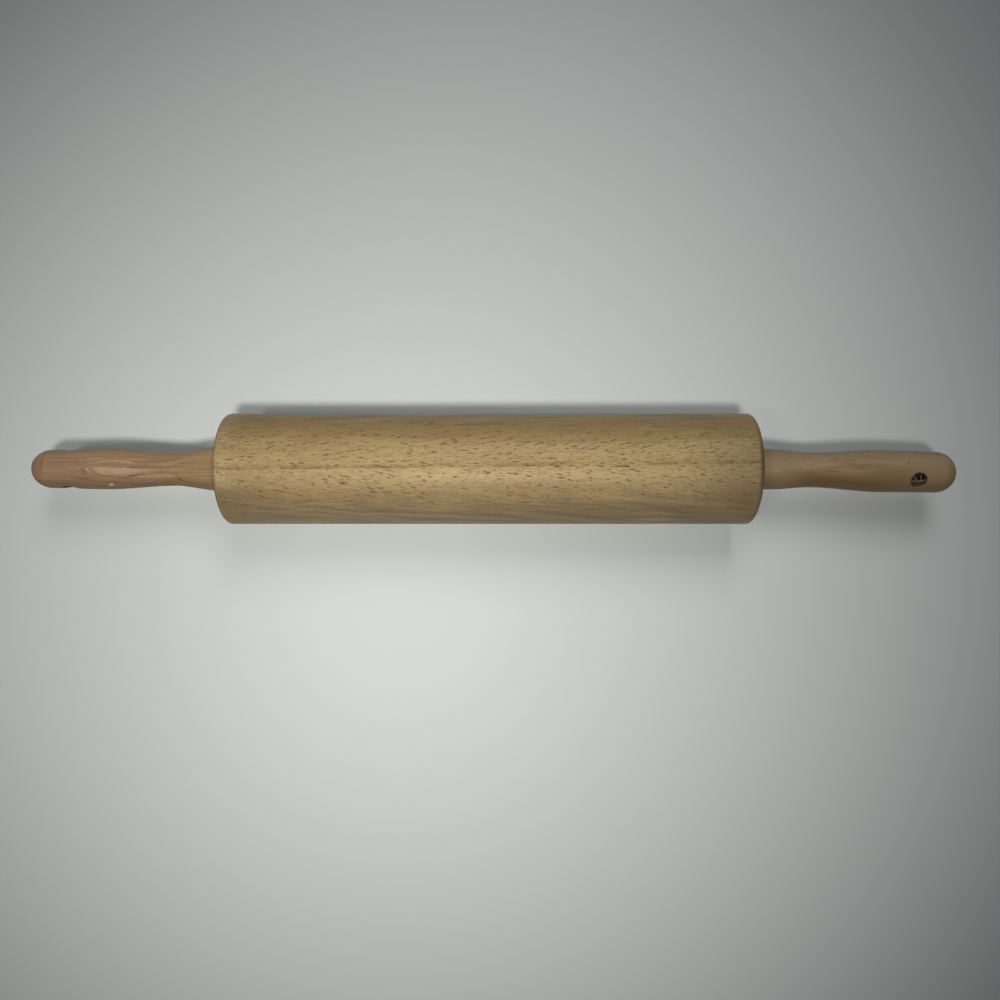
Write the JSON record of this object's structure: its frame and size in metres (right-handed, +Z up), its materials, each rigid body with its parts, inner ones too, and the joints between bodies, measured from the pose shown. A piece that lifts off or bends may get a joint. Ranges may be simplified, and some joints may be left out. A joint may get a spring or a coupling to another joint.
{
  "type": "rolling pin",
  "caption": "Wooden rolling pin: a turned barrel that spins and slides a little on a steel axle, between turned handles with hanging holes.",
  "frame": {"origin": "on the table under the axle, halfway between the two handle tips", "axes": "+X along the axle towards the right handle in the picture, +Y to the top of the picture, +Z up from the table towards the camera"},
  "size_m": [0.4476, 0.054, 0.054],
  "materials": {
    "barrel_wood": "fine sanded, matte",
    "left_handle_wood": "fine sanded, matte",
    "right_handle_wood": "fine sanded, matte",
    "zinc_steel": "zinc plated, satin",
    "nylon": "moulded, satin"
  },
  "bodies": {
    "handles_and_axle": {"axle_rod": "zinc_steel", "left_handle": "left_handle_wood", "right_handle": "right_handle_wood"},
    "washers": {"left_washer": "zinc_steel", "right_washer": "zinc_steel"},
    "roller": {"barrel": "barrel_wood", "left_bushing": "nylon", "right_bushing": "nylon"}
  },
  "joints": [
    {"name": "barrel_float", "type": "slide", "parent": "handles_and_axle", "child": "washers", "axis": [1, 0, 0], "range_m": [0, 0.0044]},
    {"name": "barrel_spin", "type": "hinge", "parent": "washers", "child": "roller", "pos_m": [0, 0, 0.027], "axis": [1, 0, 0], "continuous": true}
  ]
}
